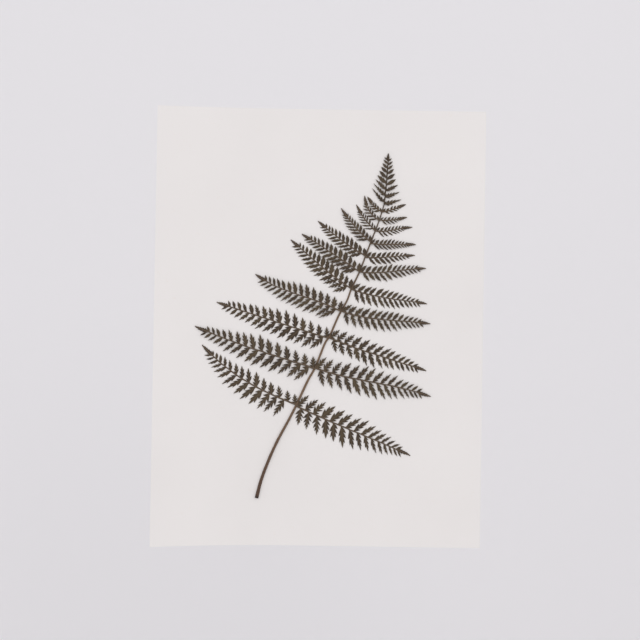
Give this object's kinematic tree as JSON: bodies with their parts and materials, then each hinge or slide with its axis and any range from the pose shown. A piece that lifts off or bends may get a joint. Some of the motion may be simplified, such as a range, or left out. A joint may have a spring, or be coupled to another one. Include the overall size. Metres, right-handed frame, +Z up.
{
  "type": "pressed fern specimen sheet",
  "caption": "Pressed, dried fern frond mounted on a plain upright sheet of white card whose left side curls off the wall.",
  "frame": {"origin": "middle of the card's back face, on the plane of the wall that it is fixed to", "axes": "+X to the right as seen from the front, +Y into the wall, +Z up; the frond is on the front, towards -Y"},
  "size_m": [0.3, 0.0176, 0.4],
  "materials": {
    "card": "matte",
    "dried_stem": "matte",
    "dried_leaf": "matte"
  },
  "bodies": {
    "root": {"card": "card", "stem": "dried_stem", "pinna_left_01": "dried_leaf", "pinna_left_02": "dried_leaf", "pinna_left_03": "dried_leaf", "pinna_left_04": "dried_leaf", "pinna_left_05": "dried_leaf", "pinna_left_06": "dried_leaf", "pinna_left_07": "dried_leaf", "pinna_left_08": "dried_leaf", "pinna_left_09": "dried_leaf", "pinna_left_10": "dried_leaf", "pinna_left_11": "dried_leaf", "pinna_right_01": "dried_leaf", "pinna_right_02": "dried_leaf", "pinna_right_03": "dried_leaf", "pinna_right_04": "dried_leaf", "pinna_right_05": "dried_leaf", "pinna_right_06": "dried_leaf", "pinna_right_07": "dried_leaf", "pinna_right_08": "dried_leaf", "pinna_right_09": "dried_leaf", "pinna_right_10": "dried_leaf", "pinna_right_11": "dried_leaf", "frond_tip": "dried_leaf"}
  },
  "joints": []
}
